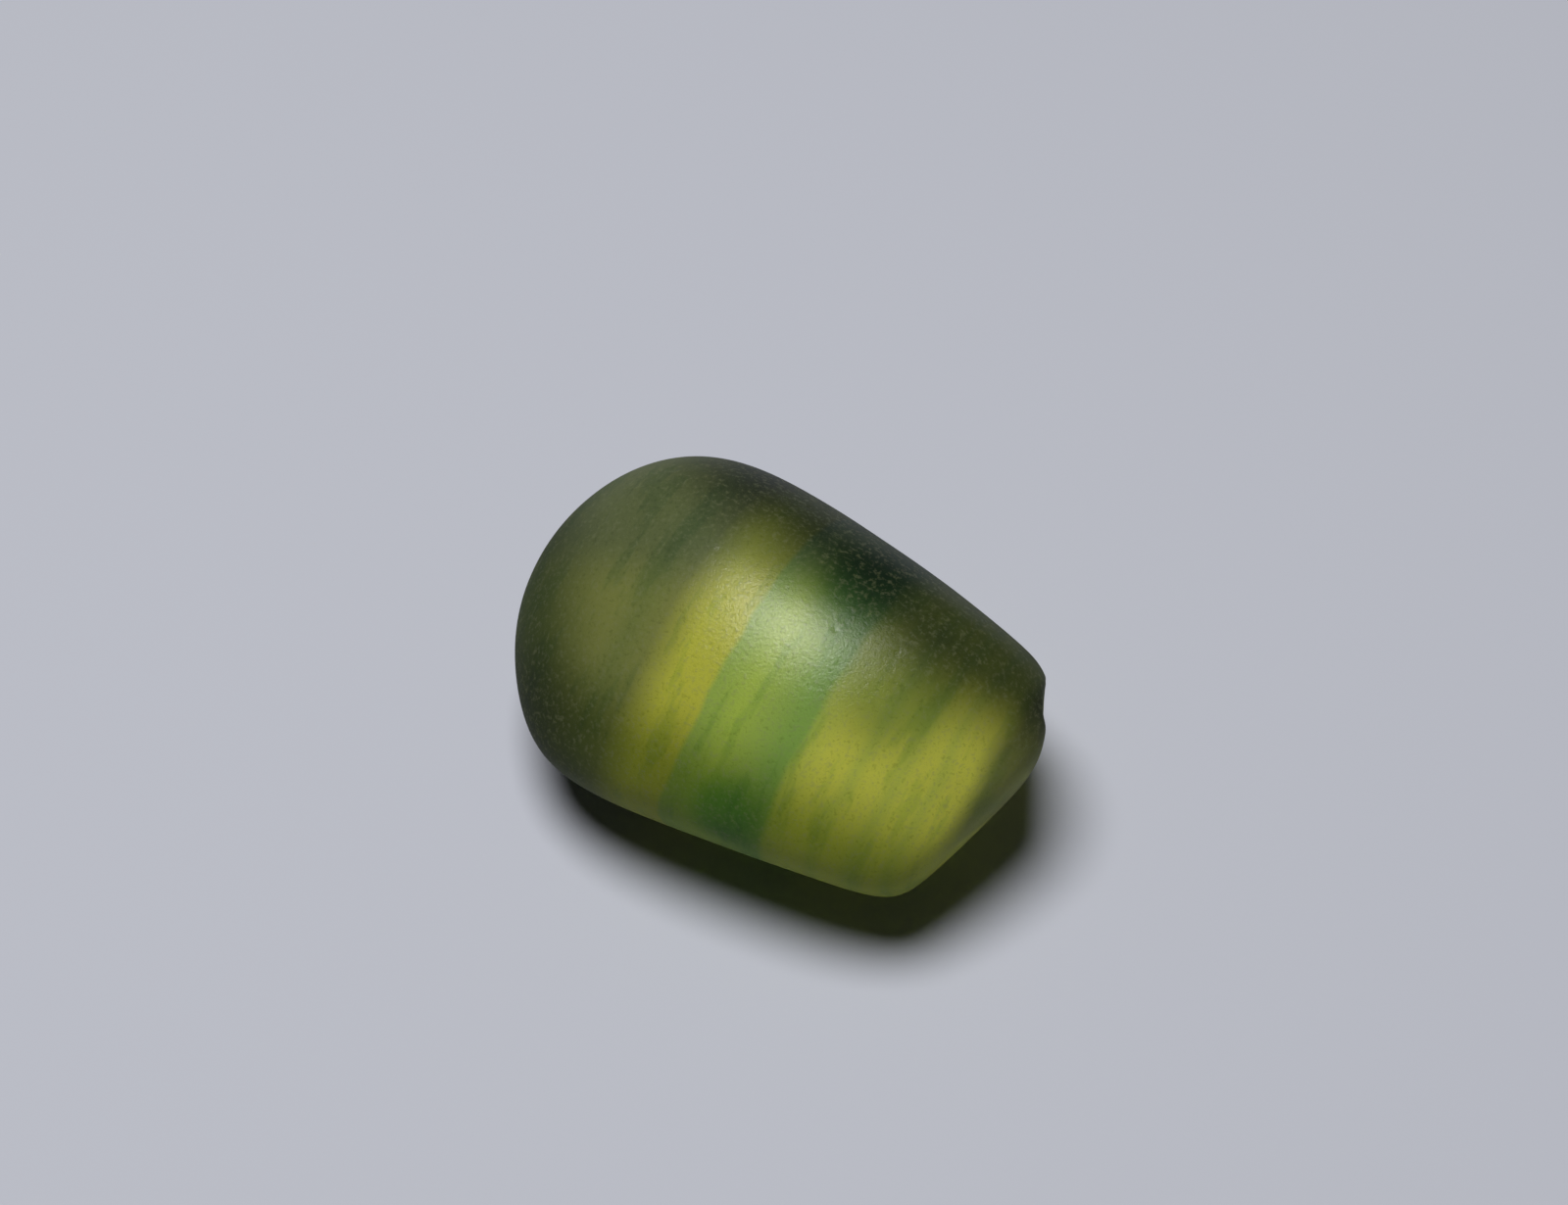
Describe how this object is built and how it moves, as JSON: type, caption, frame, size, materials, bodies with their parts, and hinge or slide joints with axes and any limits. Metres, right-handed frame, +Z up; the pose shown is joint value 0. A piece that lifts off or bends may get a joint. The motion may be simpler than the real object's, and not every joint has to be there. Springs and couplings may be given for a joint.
{
  "type": "rough sapphire",
  "caption": "Water-worn rough sapphire: a frosted, see-through, yellow and green banded barrel with a domed end and a broken, chipped end, lying on its flat side.",
  "frame": {"origin": "under the middle of the stone's box, on the surface it lies on", "axes": "+X along the barrel to the broken end, +Z up"},
  "size_m": [0.0092, 0.0062, 0.0055],
  "materials": {
    "corundum": "frosted, water-worn skin over see-through crystal with yellow, green and dark blue-green growth bands"
  },
  "bodies": {
    "root": {"sapphire": "corundum"}
  },
  "joints": []
}
